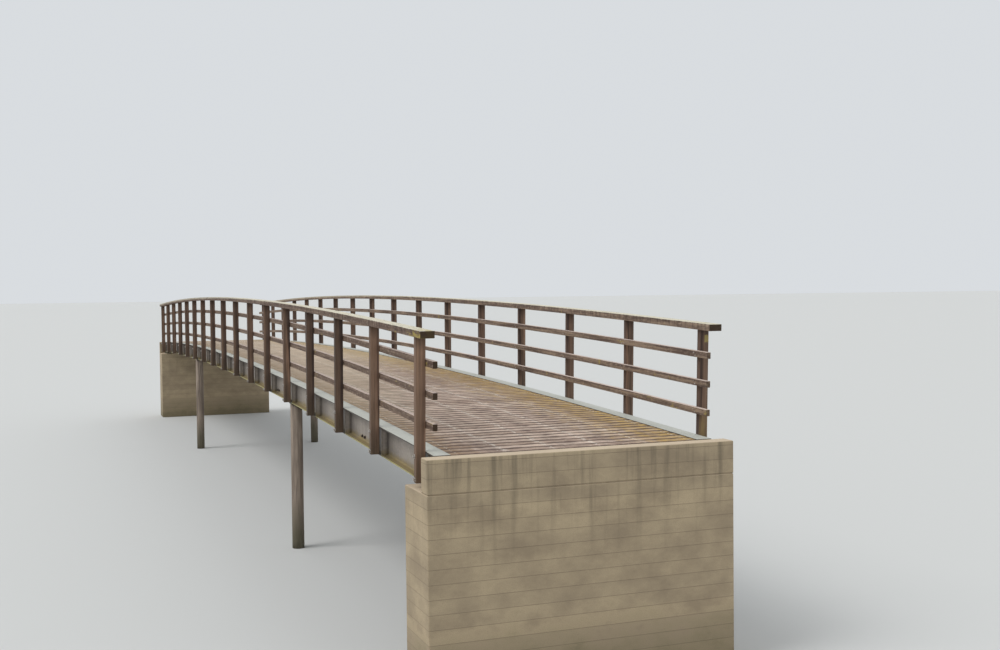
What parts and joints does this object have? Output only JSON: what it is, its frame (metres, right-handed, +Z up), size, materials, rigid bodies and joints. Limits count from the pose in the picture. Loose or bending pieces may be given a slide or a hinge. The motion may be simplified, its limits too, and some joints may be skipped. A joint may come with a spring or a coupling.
{
  "type": "wooden footbridge",
  "caption": "Cambered footbridge: steel edge girders on round piles carry a cross-boarded timber deck between post and rail timber railings, with concrete abutments.",
  "frame": {"origin": "centre of the bounding box, at the level of the feet of piles and abutments", "axes": "+X along the bridge towards the near end in the picture, +Y towards its right railing, +Z up"},
  "size_m": [24.8638, 2.9, 3.3251],
  "materials": {
    "steel": "weathered galvanised steel with moss on the lower flanges",
    "bearer_timber": "rough sawn hardwood, damp and dark",
    "deck_timber": "weathered hardwood boards with grooves, moss along the edges",
    "railing_timber": "weathered planed hardwood with pale tops and lichen",
    "pile_timber": "weathered round hardwood",
    "concrete": "weathered tan concrete",
    "pad_rubber": "dull black rubber"
  },
  "bodies": {
    "root": {"girder_left_near": "steel", "girder_left_mid": "steel", "girder_left_far": "steel", "girder_right_near": "steel", "girder_right_mid": "steel", "girder_right_far": "steel", "cross_beams_near": "steel", "cross_beams_mid": "steel", "cross_beams_far": "steel", "post_plates_left": "steel", "post_plates_right": "steel", "bearers_near": "bearer_timber", "bearers_mid": "bearer_timber", "bearers_far": "bearer_timber", "deck_near": "deck_timber", "deck_mid": "deck_timber", "deck_far": "deck_timber", "posts_left": "railing_timber", "posts_right": "railing_timber", "top_rail_left": "railing_timber", "top_rail_right": "railing_timber", "upper_rail_left": "railing_timber", "upper_rail_right": "railing_timber", "middle_rail_left": "railing_timber", "middle_rail_right": "railing_timber", "lower_rail_left": "railing_timber", "lower_rail_right": "railing_timber", "pile_near_left": "pile_timber", "pile_near_right": "pile_timber", "pile_far_left": "pile_timber", "pile_far_right": "pile_timber", "pile_heads_near": "steel", "pile_heads_far": "steel", "abutment_near": "concrete", "abutment_far": "concrete", "back_wall_near": "concrete", "back_wall_far": "concrete", "bearing_pads_near": "pad_rubber", "bearing_pads_far": "pad_rubber"}
  },
  "joints": []
}
